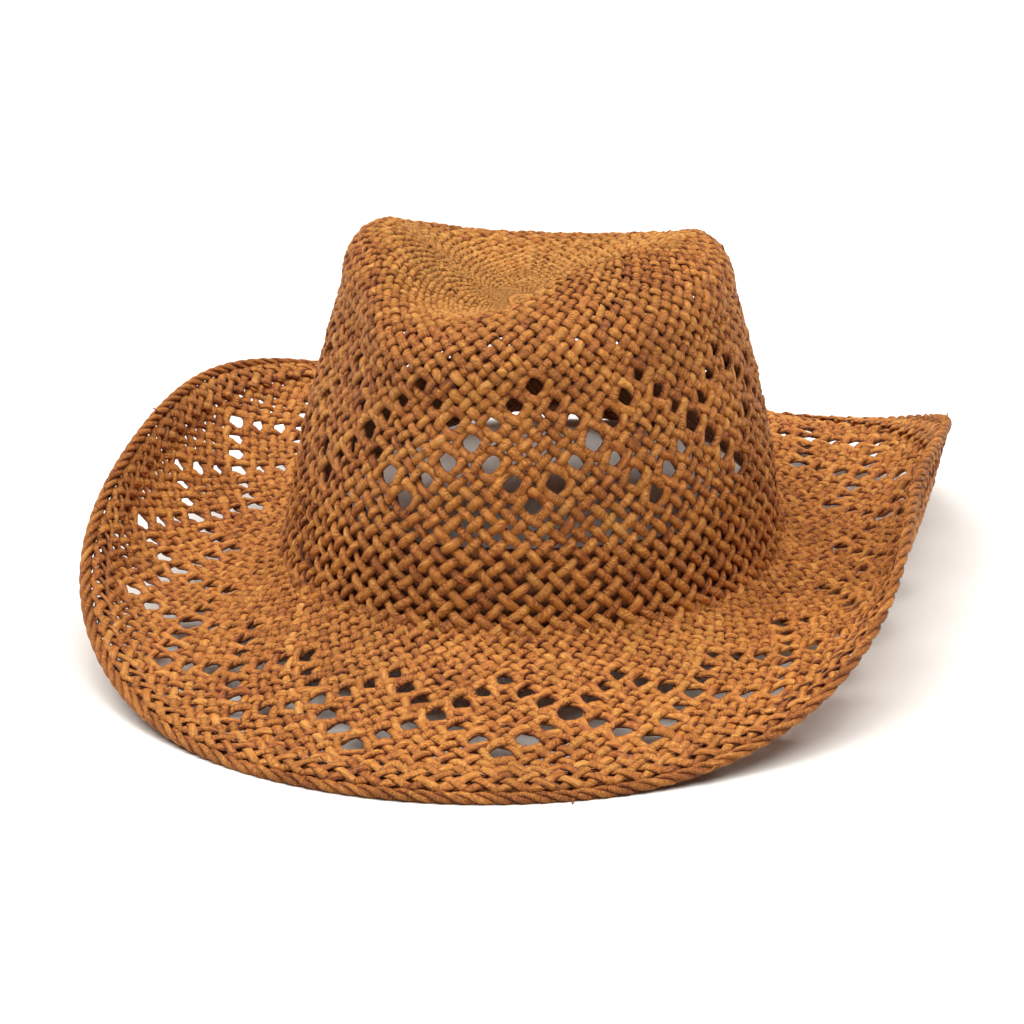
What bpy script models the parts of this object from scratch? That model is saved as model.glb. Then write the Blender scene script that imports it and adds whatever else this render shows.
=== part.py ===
"""A woven paper-straw cowboy hat: pinched crown, curled wired brim and an inner sweatband.

Lengths here are millimetres and angles radians unless a name says otherwise. Round the hat, the angle
phi is 0 at the front (-Y), a quarter turn at the wearer's left hand side (+X) and half a turn at the back.
"""

import math

import bpy
import numpy as np
from mathutils import Matrix

MM = 0.001
TURN = 2 * math.pi
BACK = math.pi

# How the form leans, in degrees, so that it rests on both sides of its front and on its back.
REST_ROLL = 1.6  # towards the wearer's left
REST_PITCH = 0.29  # forwards
# Where the form's own centre sits: the hat then stands centred on the origin, its lowest edge at zero.
PLACE = (2.78, 2.975, 20.966)

# The head opening, an ellipse whose height waves a little: mean, front-back, side and saddle terms.
OPENING_HALF_WIDTH = 86.0
OPENING_HALF_LENGTH = 98.0
OPENING_RISE = (2.7, -2.1, 0.8, 4.8)

# The brim is a strip of constant width. Its slope turns from START at the crown to END at the edge.
# Each is a mean followed by the cosine and sine terms of phi, 2 phi, 3 phi and so on.
BRIM_WIDTH = 77.7
BRIM_START_SLOPE = (-0.206, -0.152, 0.036, 0.048, 0.086)
BRIM_END_SLOPE = (0.381, 0.148, 0.095, -1.252, -0.017, 0.189, -0.086, 0.143, -0.021, 0.042, 0.013)
BRIM_CURL = 1.5

# The crest round the teardrop dent, every 30 degrees from the front by way of +X.
CREST_RADIUS = (55, 40, 37, 44, 55, 60, 55.5, 60, 56, 50, 51, 57)
CREST_HEIGHT = (103.5, 111, 112.5, 112, 106, 95, 90, 91.5, 102.5, 113, 110, 100)
SHOULDER_DROP = 20.0
WALL_TAPER_SIDE = 0.205
WALL_TAPER_END = 0.24
WALL_BULGE = 2.5
CROWN_LEAN = 2.0  # how far the crown's top leans to the wearer's left
# The two flattened facets beside the front pinch: centre and width in degrees, and depth as a share.
FACETS = ((38, 26, 0.075), (-58, 22, 0.10))
SOFT_SHOULDER = (40, 30, 0.35)
DENT_FLOOR = 84.0
DENT_CENTRE = (-3.0, 8.0)

STRAW = 2.0  # thickness of the woven sheet
GAP = 0.3  # between pieces that touch

BRAID_RADIUS = 1.8
BRAID_UP = 0.3  # above the middle of the brim's sheet
BRAID_FLAT = 0.7  # how far the braid is squashed where the hat rests on it
FOLD_RADIUS = 1.8
FOLD_HOLLOW = 1.3
HEM_DEPTH = 9.5  # how far the hem lies over the brim
HEM_STRAW = 1.2
HEM_GAP = 0.5  # between the hem and the brim under it
WIRE_RADIUS = 0.45
SLEEVE_OUTER = 0.95
SLEEVE_INNER = 0.7
SLEEVE_LENGTH = 22.0

BAND_THICK = 1.2
BAND_BOTTOM = 1.5
BAND_HEIGHT = 28.0
TAB_WIDTH = 16.0
TAB_THICK = 0.8
STITCH_THICK = 0.4  # the thread's radius
STITCH_SWAY = 0.9  # half the zigzag's width
STITCHES = 128
SEAM_INSET = 2.5  # from a hem's or a band's edge to its seam

RING_STEPS = 64

# Distances out along the brim's slope, from the head opening.
BRAID_OUT = BRIM_WIDTH - BRAID_RADIUS
FOLD_EDGE = BRIM_WIDTH - 2 * BRAID_RADIUS - GAP
FOLD_OUT = FOLD_EDGE - FOLD_RADIUS
FOLD_UP = FOLD_RADIUS - STRAW / 2
SHEET_END = FOLD_OUT - FOLD_RADIUS - 1.2
CROWN_CLEAR = 1.8  # where the brim's sheet starts, clear of the crown's wall


def series(phi, terms):
    """A mean followed by pairs of cosine and sine terms."""
    total = np.full_like(phi, terms[0])
    for i, term in enumerate(terms[1:]):
        wave = np.cos if i % 2 == 0 else np.sin
        total = total + term * wave((i // 2 + 1) * phi)
    return total


def around(phi, values):
    """A smooth closed curve through values spaced evenly round the hat."""
    knots = np.asarray(values, float)
    place = np.mod(phi, TURN) / TURN * len(knots)
    first = np.floor(place).astype(int)
    f = place - first
    p0, p1, p2, p3 = (knots[(first + k) % len(knots)] for k in (-1, 0, 1, 2))
    return p1 + 0.5 * f * (p2 - p0 + f * (2 * p0 - 5 * p1 + 4 * p2 - p3 + f * (3 * (p1 - p2) + p3 - p0)))


def bump(degrees, centre, width):
    return np.exp(-(((degrees - centre) / width) ** 2))


def opening(phi):
    x = OPENING_HALF_WIDTH * np.sin(phi)
    y = -OPENING_HALF_LENGTH * np.cos(phi)
    return np.stack([x, y, series(phi, OPENING_RISE)], -1)


def outward(phi):
    """The level direction straight out of the head opening."""
    way = np.stack([OPENING_HALF_LENGTH * np.sin(phi), -OPENING_HALF_WIDTH * np.cos(phi)], -1)
    return way / np.linalg.norm(way, axis=-1, keepdims=True)


def on_brim(phi, out, up):
    """A point at a distance out along the brim's curled slope, and up off the middle of its sheet."""
    phi, out, up = (a.astype(float) for a in np.broadcast_arrays(phi, out, up))
    share = out / BRIM_WIDTH
    start = series(phi, BRIM_START_SLOPE)
    turn = series(phi, BRIM_END_SLOPE) - start
    steps = (np.arange(24) + 0.5) / 24
    slopes = start[..., None] + turn[..., None] * (share[..., None] * steps) ** BRIM_CURL
    slope = start + turn * share**BRIM_CURL
    run = np.cos(slopes).mean(-1) * out - np.sin(slope) * up
    rise = np.sin(slopes).mean(-1) * out + np.cos(slope) * up
    points = opening(phi)
    points[..., :2] += outward(phi) * run[..., None]
    points[..., 2] += rise
    return points


def crown_middle(phi, stage):
    """The middle of the crown's sheet, from 0 at the opening to 1, the wall's top, 2, the crest, and 3,
    the dent's floor."""
    degrees = np.degrees(np.angle(np.exp(1j * phi)))
    crest_z = around(phi, CREST_HEIGHT)
    wall_z = crest_z - SHOULDER_DROP
    facet = 1 - sum(depth * bump(degrees, centre, width) for centre, width, depth in FACETS)
    half_width = (OPENING_HALF_WIDTH - WALL_TAPER_SIDE * wall_z) * facet
    half_length = (OPENING_HALF_LENGTH - WALL_TAPER_END * wall_z) * facet
    way = np.stack([np.sin(phi), -np.cos(phi)], -1)
    wall_top = np.stack([half_width * way[..., 0], half_length * way[..., 1], wall_z], -1)
    crest = np.concatenate([around(phi, CREST_RADIUS)[..., None] * way, crest_z[..., None]], -1)
    wall_top[..., 0] += CROWN_LEAN
    crest[..., 0] += CROWN_LEAN

    climb = np.clip(stage, 0, 1)[..., None]
    wall = opening(phi) * (1 - climb) + wall_top * climb
    wall[..., :2] += WALL_BULGE * np.sin(math.pi * climb) * way

    angle = np.clip(stage - 1, 0, 1) * math.pi / 2
    centre, width, softness = SOFT_SHOULDER
    power = 0.95 + softness * bump(degrees, centre, width)
    inner, upper = (np.cos(angle) ** power)[..., None], (np.sin(angle) ** power)[..., None]
    shoulder = crest + (wall_top - crest) * np.concatenate([inner, inner, 1 - upper], -1)

    fall = np.clip(stage - 2, 0, 1)[..., None]
    floor = np.array([*DENT_CENTRE, DENT_FLOOR])
    drop = np.sin(math.pi / 2 * fall) ** 1.3
    dent = crest + (floor - crest) * np.concatenate([fall, fall, drop], -1)
    stage = stage[..., None]
    return np.where(stage <= 1, wall, np.where(stage <= 2, shoulder, dent))


def on_crown(phi, stage, up):
    """A point off the middle of the crown's sheet, outwards for a positive up."""
    phi, stage, up = (a.astype(float) for a in np.broadcast_arrays(phi, stage, up))
    near = 0.004
    climb = crown_middle(phi, stage + near) - crown_middle(phi, stage - near)
    across = crown_middle(phi + near, stage) - crown_middle(phi - near, stage)
    at_floor = (stage >= 2.99)[..., None]
    normal = np.where(at_floor, np.array([0.0, 0.0, 1.0]), np.cross(across, climb))
    normal /= np.linalg.norm(normal, axis=-1, keepdims=True)
    return crown_middle(phi, stage) + normal * up[..., None]


def wall_stage(phi, height):
    """The stage on the crown's wall at a height above the head opening."""
    wall = around(phi, CREST_HEIGHT) - SHOULDER_DROP - series(phi, OPENING_RISE)
    return height / wall


def material(name, colour, roughness, metallic=0.0):
    made = bpy.data.materials.new(name)
    made.use_nodes = True
    shader = made.node_tree.nodes["Principled BSDF"]
    shader.inputs["Base Color"].default_value = (*colour, 1)
    shader.inputs["Roughness"].default_value = roughness
    shader.inputs["Metallic"].default_value = metallic
    return made


def standing(points):
    """Points of the form, turned and moved to where they are when the hat stands on its edge."""
    roll = Matrix.Rotation(math.radians(REST_ROLL), 3, "Y")
    pitch = Matrix.Rotation(math.radians(REST_PITCH), 3, "X")
    return np.asarray(points) @ np.array(pitch @ roll).T + PLACE


def add(name, points, faces, finish, smooth=True):
    """One named object from millimetre points in the form's own frame."""
    mesh = bpy.data.meshes.new(name)
    placed = standing(points) * MM
    mesh.from_pydata([tuple(p) for p in placed], [], faces)
    mesh.materials.append(finish)
    if smooth:
        mesh.shade_smooth()
        mesh.set_sharp_from_angle(angle=math.radians(50))
    made = bpy.data.objects.new(name, mesh)
    bpy.context.scene.collection.objects.link(made)
    return made


def tube_faces(rings, around_count, looped):
    """Quads between rings of points, closed on themselves or ended with caps."""
    faces = []
    last = rings if looped else rings - 1
    for i in range(last):
        a, b = i * around_count, (i + 1) % rings * around_count
        for j in range(around_count):
            k = (j + 1) % around_count
            faces.append((a + j, b + j, b + k, a + k))
    if not looped:
        end = (rings - 1) * around_count
        faces.append(tuple(range(around_count)))
        faces.append(tuple(end + j for j in reversed(range(around_count))))
    return faces


def ring_angles(steps=RING_STEPS):
    return np.arange(steps) * TURN / steps


def swept(name, place, phis, section, finish, looped=True):
    """A closed outline of (along, up) pairs carried round the hat. Its solid is on the outline's left."""
    section = np.asarray(section, float)
    points = place(phis[:, None], section[None, :, 0], section[None, :, 1])
    faces = tube_faces(len(phis), len(section), looped)
    return add(name, points.reshape(-1, 3), faces, finish)


def sheet_outline(along, half_thick, middle=0.0):
    """The outline of a sheet's cross-section through the given distances along it."""
    lower = [(a, middle - half_thick) for a in along]
    upper = [(a, middle + half_thick) for a in reversed(along)]
    return lower + upper


def circle(centre, radius, sides):
    steps = [TURN * k / sides for k in range(sides)]
    return [(centre[0] + radius * math.cos(a), centre[1] + radius * math.sin(a)) for a in steps]


def make_brim(straw):
    along = [*np.linspace(CROWN_CLEAR, FOLD_EDGE - HEM_DEPTH, 9), SHEET_END]
    return swept("brim", on_brim, ring_angles(), sheet_outline(along, STRAW / 2), straw)


def hem_outline():
    """The brim's end turned up round the wire and laid back over the brim's upper face."""
    fold = [
        (FOLD_OUT + FOLD_RADIUS * math.cos(a), FOLD_UP + FOLD_RADIUS * math.sin(a))
        for a in np.linspace(-math.pi / 2, math.pi / 2, 6)
    ]
    top = STRAW / 2 + HEM_GAP
    slot = [math.asin((top - FOLD_UP) / FOLD_HOLLOW), math.asin((STRAW / 2 - FOLD_UP) / FOLD_HOLLOW)]
    hollow = [
        (FOLD_OUT + FOLD_HOLLOW * math.cos(a), FOLD_UP + FOLD_HOLLOW * math.sin(a))
        for a in np.linspace(math.pi - slot[0], -math.pi - slot[1], 8)
    ]
    start = SHEET_END + GAP
    tip = FOLD_EDGE - HEM_DEPTH
    return [(start, -STRAW / 2), *fold, (tip, top + HEM_STRAW), (tip, top), *hollow, (start, STRAW / 2)]


def make_hem(straw):
    return swept("brim_hem", on_brim, ring_angles(), hem_outline(), straw)


def make_braid(straw):
    """The rope-like braid round the edge, squashed flat where the hat rests on it."""
    section = circle((BRAID_OUT, BRAID_UP), BRAID_RADIUS, 10)
    braid = swept("edge_braid", on_brim, ring_angles(), section, straw)
    heights = np.array([v.co.z for v in braid.data.vertices])
    front = np.array([v.co.y < 0 for v in braid.data.vertices])
    rest = max(heights[front].min(), heights[~front].min()) + BRAID_FLAT * MM
    for vertex in braid.data.vertices:
        vertex.co.z = max(vertex.co.z, rest)
    return braid


def open_ring(gap, steps=RING_STEPS):
    """Angles once round from the back to the back, leaving a gap in millimetres there."""
    half = gap / 2 / OPENING_HALF_LENGTH
    return np.linspace(BACK + half, BACK + TURN - half, steps + 1)


def make_wire(steel):
    section = circle((FOLD_OUT, FOLD_UP), WIRE_RADIUS, 6)
    return swept("brim_wire", on_brim, open_ring(2 * GAP), section, steel, looped=False)


def make_sleeve(steel):
    """The crimp tube that joins the wire's two ends at the back."""
    half = SLEEVE_LENGTH / 2 / (OPENING_HALF_LENGTH + FOLD_OUT)
    phis = np.linspace(BACK - half, BACK + half, 5)
    sides = 10
    outer = np.array(circle((FOLD_OUT, FOLD_UP), SLEEVE_OUTER, sides))
    inner = np.array(circle((FOLD_OUT, FOLD_UP), SLEEVE_INNER, sides))
    walls = [on_brim(phis[:, None], c[None, :, 0], c[None, :, 1]).reshape(-1, 3) for c in (outer, inner)]
    count = len(walls[0])
    bore = [tuple(count + i for i in reversed(f)) for f in tube_faces(len(phis), sides, False)[:-2]]
    faces = tube_faces(len(phis), sides, False)[:-2] + bore
    end = (len(phis) - 1) * sides
    for j in range(sides):
        k = (j + 1) % sides
        faces.append((j, k, count + k, count + j))
        faces.append((end + k, end + j, count + end + j, count + end + k))
    return add("wire_sleeve", np.concatenate(walls), faces, steel)


def make_crown_wall(straw):
    """The crown's side, from the head opening to the bottom of the shoulder."""
    stages = np.linspace(0, 1 - 0.007, 7)
    return swept("crown_wall", on_crown, ring_angles(), sheet_outline(stages, STRAW / 2)[::-1], straw)


def make_crown_tip(straw):
    """The crown's top: the shoulder, the crest and the teardrop dent, closed in the middle."""
    phis = ring_angles()
    stages = np.array([1.0, 1.35, 1.7, 2.0, 2.2, 2.4, 2.65, 2.85])
    sides = [on_crown(phis[:, None], stages[None], up) for up in (STRAW / 2, -STRAW / 2)]
    rows = len(stages)
    count = len(phis) * rows
    points = [side.reshape(-1, 3) for side in sides]
    floors = [on_crown(0.0, 3.0, up).reshape(1, 3) for up in (STRAW / 2, -STRAW / 2)]
    faces = []
    top_floor, under_floor = 2 * count, 2 * count + 1
    for i in range(len(phis)):
        a, b = i * rows, (i + 1) % len(phis) * rows
        for j in range(rows - 1):
            faces.append((a + j, b + j, b + j + 1, a + j + 1))
            faces.append((count + a + j + 1, count + b + j + 1, count + b + j, count + a + j))
        faces.append((a, count + a, count + b, b))
        faces.append((a + rows - 1, b + rows - 1, top_floor))
        faces.append((count + b + rows - 1, count + a + rows - 1, under_floor))
    return add("crown_tip", np.concatenate(points + floors), faces, straw)


def on_band(phi, height, up):
    return on_crown(phi, wall_stage(phi, height), up)


def make_sweatband(cloth):
    middle = -(STRAW / 2 + GAP + BAND_THICK / 2)
    heights = np.linspace(BAND_BOTTOM, BAND_BOTTOM + BAND_HEIGHT, 3)
    outline = sheet_outline(heights, BAND_THICK / 2, middle)[::-1]
    return swept("sweatband", on_band, open_ring(2 * GAP), outline, cloth, looped=False)


def make_tab(cloth):
    """The short tape that covers the sweatband's join at the back."""
    half = TAB_WIDTH / 2 / OPENING_HALF_LENGTH
    middle = -(STRAW / 2 + 2 * GAP + BAND_THICK + TAB_THICK / 2)
    heights = [BAND_BOTTOM + 1, BAND_BOTTOM + BAND_HEIGHT - 1]
    outline = sheet_outline(heights, TAB_THICK / 2, middle)[::-1]
    phis = np.linspace(BACK - half, BACK + half, 5)
    return swept("sweatband_tab", on_band, phis, outline, cloth, looped=False)


def zigzag(name, place, phis, along, up, thread, looped):
    """One thread sewn in a zigzag round the hat: each needle hole is a step up or down from the last."""
    steps = np.arange(len(phis))
    sway = np.where(steps % 2 == 0, STITCH_SWAY, -STITCH_SWAY)
    section = np.array(circle((along, up), STITCH_THICK, 3))
    points = place(phis[:, None], section[None, :, 0] + sway[:, None], section[None, :, 1])
    faces = tube_faces(len(phis), len(section), looped)
    return add(name, points.reshape(-1, 3), faces, thread, smooth=False)


def make_band_thread(thread):
    """The seam that sews the sweatband to the crown, stopping short of the tab at the back."""
    clear = (TAB_WIDTH / 2 + 1.0) / OPENING_HALF_LENGTH
    phis = np.linspace(BACK + TURN - clear, BACK + clear, STITCHES)
    up = -(STRAW / 2 + 2 * GAP + BAND_THICK + STITCH_THICK)
    return zigzag("sweatband_thread", on_band, phis, BAND_BOTTOM + SEAM_INSET, up, thread, looped=False)


def make_hem_thread(thread):
    """The seam that holds the turned hem down on the brim."""
    along = FOLD_EDGE - HEM_DEPTH + SEAM_INSET
    up = STRAW / 2 + HEM_GAP + HEM_STRAW + 2 * GAP + STITCH_THICK
    return zigzag("hem_thread", on_brim, ring_angles(STITCHES), along, up, thread, looped=True)


def main():
    for old in list(bpy.data.objects):
        bpy.data.objects.remove(old)
    straw = material("paper_straw", (0.42, 0.19, 0.065), 0.72)
    edging = material("braided_straw", (0.40, 0.18, 0.06), 0.7)
    steel = material("steel_wire", (0.55, 0.55, 0.56), 0.35, 1.0)
    cloth = material("band_cloth", (0.30, 0.16, 0.07), 0.9)
    thread = material("tan_thread", (0.45, 0.24, 0.10), 0.6)
    make_crown_tip(straw)
    make_crown_wall(straw)
    make_brim(straw)
    make_hem(straw)
    make_braid(edging)
    make_wire(steel)
    make_sleeve(steel)
    make_sweatband(cloth)
    make_tab(cloth)
    make_band_thread(thread)
    make_hem_thread(thread)


main()
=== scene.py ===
"""Looks of the woven straw cowboy hat: every straw of the weave, the turned hem, the roped edge and the band.

Lengths are millimetres in the hat's own form, and become metres in the frame when a mesh is made. Round the
hat, phi is 0 at the front (-Y) and grows towards the wearer's left (+X).
"""

import math

import bpy
import numpy as np
from mathutils import Matrix, Vector


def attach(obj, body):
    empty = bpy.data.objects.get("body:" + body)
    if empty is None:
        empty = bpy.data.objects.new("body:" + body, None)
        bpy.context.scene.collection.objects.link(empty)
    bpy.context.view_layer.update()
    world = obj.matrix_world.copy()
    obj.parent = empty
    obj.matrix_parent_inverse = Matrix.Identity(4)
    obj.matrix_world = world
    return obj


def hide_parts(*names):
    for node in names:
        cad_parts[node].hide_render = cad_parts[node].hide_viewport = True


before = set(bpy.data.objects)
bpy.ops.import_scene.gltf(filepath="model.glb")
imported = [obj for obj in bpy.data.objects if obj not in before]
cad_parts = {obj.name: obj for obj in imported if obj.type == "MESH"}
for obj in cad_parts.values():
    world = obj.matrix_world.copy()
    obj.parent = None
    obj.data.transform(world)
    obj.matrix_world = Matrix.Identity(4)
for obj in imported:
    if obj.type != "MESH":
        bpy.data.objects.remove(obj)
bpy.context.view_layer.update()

# ---------------------------------------------------------------------------------------------------
# The hat's form, as the CAD part draws it, with the same names and values.

MM = 0.001
TURN = 2 * math.pi
BACK = math.pi
REST_ROLL = 1.6  # how the form leans when the hat stands on its edge, in degrees
REST_PITCH = 0.29
PLACE = (2.78, 2.975, 20.966)

OPENING_HALF_WIDTH = 86.0
OPENING_HALF_LENGTH = 98.0
OPENING_RISE = (2.7, -2.1, 0.8, 4.8)
OPENING_RADIUS = (OPENING_HALF_WIDTH + OPENING_HALF_LENGTH) / 2

# Slopes are a mean followed by the cosine and sine terms of phi, 2 phi, 3 phi and so on.
BRIM_WIDTH = 77.7
BRIM_START_SLOPE = (-0.206, -0.152, 0.036, 0.048, 0.086)
BRIM_END_SLOPE = (0.381, 0.148, 0.095, -1.252, -0.017, 0.189, -0.086, 0.143, -0.021, 0.042, 0.013)
BRIM_CURL = 1.5

# The crest round the dent, every 30 degrees from the front by way of +X.
CREST_RADIUS = (55, 40, 37, 44, 55, 60, 55.5, 60, 56, 50, 51, 57)
CREST_HEIGHT = (103.5, 111, 112.5, 112, 106, 95, 90, 91.5, 102.5, 113, 110, 100)
SHOULDER_DROP = 20.0
WALL_TAPER_SIDE = 0.205
WALL_TAPER_END = 0.24
WALL_BULGE = 2.5
CROWN_LEAN = 2.0
# Centre and width in degrees, and depth as a share.
FACETS = ((38, 26, 0.075), (-58, 22, 0.10))
SOFT_SHOULDER = (40, 30, 0.35)
DENT_FLOOR = 84.0
DENT_CENTRE = (-3.0, 8.0)

STRAW = 2.0
GAP = 0.3
BRAID_RADIUS = 1.8
BRAID_UP = 0.3
FOLD_RADIUS = 1.8
HEM_DEPTH = 9.5
HEM_STRAW = 1.2
HEM_GAP = 0.5
BAND_THICK = 1.2
BAND_BOTTOM = 1.5
BAND_HEIGHT = 28.0
TAB_WIDTH = 16.0
TAB_THICK = 0.8
STITCH_SWAY = 0.9
SEAM_INSET = 2.5

BRAID_OUT = BRIM_WIDTH - BRAID_RADIUS
FOLD_EDGE = BRIM_WIDTH - 2 * BRAID_RADIUS - GAP
FOLD_OUT = FOLD_EDGE - FOLD_RADIUS
FOLD_UP = FOLD_RADIUS - STRAW / 2

PITCH = Matrix.Rotation(math.radians(REST_PITCH), 3, "X")
ROLL = Matrix.Rotation(math.radians(REST_ROLL), 3, "Y")
LEAN = PITCH @ ROLL


def standing(points):
    """Points of the form, turned and moved to where they are when the hat stands on its edge, in metres."""
    return (np.asarray(points) @ np.array(LEAN).T + PLACE) * MM


def series(phi, terms):
    """A mean followed by pairs of cosine and sine terms."""
    total = np.full_like(phi, terms[0])
    for i, term in enumerate(terms[1:]):
        wave = np.cos if i % 2 == 0 else np.sin
        total = total + term * wave((i // 2 + 1) * phi)
    return total


def around(phi, values):
    """A smooth closed curve through values spaced evenly round the hat."""
    knots = np.asarray(values, float)
    place = np.mod(phi, TURN) / TURN * len(knots)
    first = np.floor(place).astype(int)
    f = place - first
    p0, p1, p2, p3 = (knots[(first + k) % len(knots)] for k in (-1, 0, 1, 2))
    return p1 + 0.5 * f * (p2 - p0 + f * (2 * p0 - 5 * p1 + 4 * p2 - p3 + f * (3 * (p1 - p2) + p3 - p0)))


def bump(degrees, centre, width):
    return np.exp(-(((degrees - centre) / width) ** 2))


def opening(phi):
    x = OPENING_HALF_WIDTH * np.sin(phi)
    y = -OPENING_HALF_LENGTH * np.cos(phi)
    return np.stack([x, y, series(phi, OPENING_RISE)], -1)


def outward(phi):
    """The level direction straight out of the head opening."""
    way = np.stack([OPENING_HALF_LENGTH * np.sin(phi), -OPENING_HALF_WIDTH * np.cos(phi)], -1)
    return way / np.linalg.norm(way, axis=-1, keepdims=True)


def on_brim(phi, out, up):
    """A point at a distance out along the brim's curled slope, and up off the middle of its sheet."""
    phi, out, up = (a.astype(float) for a in np.broadcast_arrays(phi, out, up))
    share = np.clip(out, 0, None) / BRIM_WIDTH
    start = series(phi, BRIM_START_SLOPE)
    turn = series(phi, BRIM_END_SLOPE) - start
    steps = (np.arange(12) + 0.5) / 12
    slopes = start[..., None] + turn[..., None] * (share[..., None] * steps) ** BRIM_CURL
    slope = start + turn * share**BRIM_CURL
    run = np.cos(slopes).mean(-1) * out - np.sin(slope) * up
    rise = np.sin(slopes).mean(-1) * out + np.cos(slope) * up
    points = opening(phi)
    points[..., :2] += outward(phi) * run[..., None]
    points[..., 2] += rise
    return points


def crown_middle(phi, stage):
    """The middle of the crown's sheet: 0 is the opening, 1 the wall's top, 2 the crest, 3 the dent."""
    degrees = np.degrees(np.angle(np.exp(1j * phi)))
    crest_z = around(phi, CREST_HEIGHT)
    wall_z = crest_z - SHOULDER_DROP
    facet = 1 - sum(depth * bump(degrees, centre, width) for centre, width, depth in FACETS)
    half_width = (OPENING_HALF_WIDTH - WALL_TAPER_SIDE * wall_z) * facet
    half_length = (OPENING_HALF_LENGTH - WALL_TAPER_END * wall_z) * facet
    way = np.stack([np.sin(phi), -np.cos(phi)], -1)
    wall_top = np.stack([half_width * way[..., 0], half_length * way[..., 1], wall_z], -1)
    crest = np.concatenate([around(phi, CREST_RADIUS)[..., None] * way, crest_z[..., None]], -1)
    wall_top[..., 0] += CROWN_LEAN
    crest[..., 0] += CROWN_LEAN

    climb = np.clip(stage, 0, 1)[..., None]
    wall = opening(phi) * (1 - climb) + wall_top * climb
    wall[..., :2] += WALL_BULGE * np.sin(math.pi * climb) * way

    angle = np.clip(stage - 1, 0, 1) * math.pi / 2
    centre, width, softness = SOFT_SHOULDER
    power = 0.95 + softness * bump(degrees, centre, width)
    inner, upper = (np.cos(angle) ** power)[..., None], (np.sin(angle) ** power)[..., None]
    shoulder = crest + (wall_top - crest) * np.concatenate([inner, inner, 1 - upper], -1)

    fall = np.clip(stage - 2, 0, 1)[..., None]
    floor = np.array([*DENT_CENTRE, DENT_FLOOR])
    drop = np.sin(math.pi / 2 * fall) ** 1.3
    dent = crest + (floor - crest) * np.concatenate([fall, fall, drop], -1)
    stage = stage[..., None]
    return np.where(stage <= 1, wall, np.where(stage <= 2, shoulder, dent))


def crown_normal(phi, stage):
    near = 0.012
    climb = crown_middle(phi, stage + near) - crown_middle(phi, stage - near)
    across = crown_middle(phi + near, stage) - crown_middle(phi - near, stage)
    at_floor = (stage >= 2.98)[..., None]
    normal = np.where(at_floor, np.array([0.0, 0.0, 1.0]), np.cross(across, climb))
    return normal / np.linalg.norm(normal, axis=-1, keepdims=True)


def on_crown(phi, stage, up):
    """A point off the middle of the crown's sheet, outwards for a positive up."""
    phi, stage, up = (a.astype(float) for a in np.broadcast_arrays(phi, stage, up))
    return crown_middle(phi, stage) + crown_normal(phi, stage) * up[..., None]


def wall_stage(phi, height):
    """The stage on the crown's wall at a height above the head opening."""
    return height / (around(phi, CREST_HEIGHT) - SHOULDER_DROP - series(phi, OPENING_RISE))


# ---------------------------------------------------------------------------------------------------
# Meshes made of many tubes.


def smooth_noise(rng, length, step):
    """A soft random line of about unit size, with a knot at every step."""
    knots = rng.uniform(-1, 1, int(length / step) + 3)
    return np.interp(np.arange(length) / step, np.arange(len(knots)), knots)


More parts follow.
